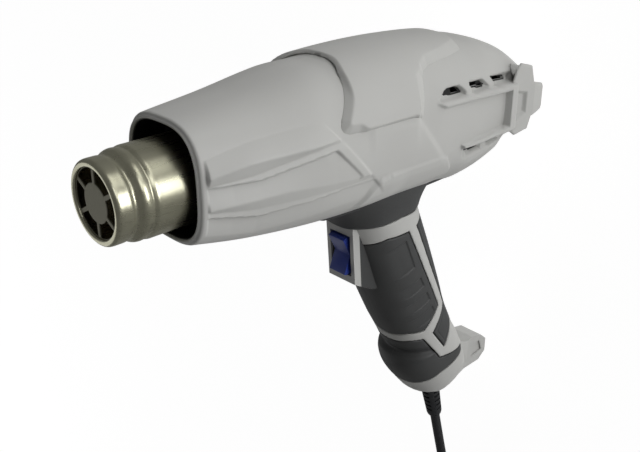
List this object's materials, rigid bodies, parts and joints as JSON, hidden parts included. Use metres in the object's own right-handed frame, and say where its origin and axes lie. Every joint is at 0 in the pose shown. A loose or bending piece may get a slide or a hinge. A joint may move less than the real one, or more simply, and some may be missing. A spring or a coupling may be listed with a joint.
{
  "type": "heat gun",
  "caption": "Pistol-grip hot air gun standing on its tail, with grilled steel nozzle, rocker switch, rubber-skinned raked handle, rear stand, fan and heater inside, and a coiled cord with plug",
  "frame": {"origin": "on the barrel axis in the plane of the rear stand face, which is the floor when the tool stands on its tail", "axes": "+Z along the barrel towards the nozzle, +X the top of the tool (the handle hangs towards -X), +Y the right side of the tool"},
  "size_m": [0.4047, 0.0924, 0.2576],
  "materials": {
    "housing_grey": "satin light grey moulded plastic",
    "rubber_dark": "soft dark overmoulded rubber",
    "nozzle_steel": "champagne tinted stainless steel",
    "grille_steel": "heat-toned steel sheet",
    "black_plastic": "black heat-resistant plastic",
    "mica": "rolled mica sheet",
    "ceramic": "heater former",
    "heating_wire": "resistance wire",
    "bright_metal": "plated steel and nickelled brass",
    "motor_metal": "plated steel can, magnets and laminations",
    "rocker_blue": "blue moulded plastic",
    "board_green": "circuit board with parts",
    "terminal_white": "white terminal block",
    "cord_rubber": "black flexible cord and moulded plug"
  },
  "bodies": {
    "tool": {"housing_left": "housing_grey", "housing_right": "housing_grey", "saddle_cover": "housing_grey", "stand_bumper": "housing_grey", "neck_sleeve": "rubber_dark", "grip_pad_left": "rubber_dark", "grip_pad_right": "rubber_dark", "back_strap": "rubber_dark", "base_boot_left": "rubber_dark", "base_boot_right": "rubber_dark", "foot_cap": "housing_grey", "nozzle_tube": "nozzle_steel", "outlet_grille": "grille_steel", "mouth_liner": "black_plastic", "mica_sleeve": "mica", "heater_core": "ceramic", "heater_winding": "heating_wire", "thermal_cutout": "bright_metal", "fan_shroud": "black_plastic", "motor_can": "motor_metal", "motor_magnets": "motor_metal", "motor_end_cap": "black_plastic", "switch_body": "black_plastic", "switch_bezel": "housing_grey", "control_board": "board_green", "terminal_block": "terminal_white", "cord_clamp": "black_plastic", "clamp_screws": "bright_metal", "housing_screws": "bright_metal", "strain_relief": "cord_rubber", "cord_tail": "cord_rubber", "cord_run": "cord_rubber", "cord_coil": "cord_rubber", "plug_body": "cord_rubber", "plug_pins": "bright_metal"},
    "fan_rotor": {"rotor": "motor_metal", "fan_wheel": "black_plastic"},
    "rocker": {"switch_rocker": "rocker_blue"}
  },
  "joints": [
    {"name": "fan_spin", "type": "hinge", "parent": "tool", "child": "fan_rotor", "pos_m": [0, 0, 0.067], "axis": [0, 0, 1], "continuous": true},
    {"name": "rocker_tilt", "type": "hinge", "parent": "tool", "child": "rocker", "pos_m": [-0.0673, 0, 0.1188], "axis": [0, 1, 0], "range_deg": [-10, 10]}
  ]
}
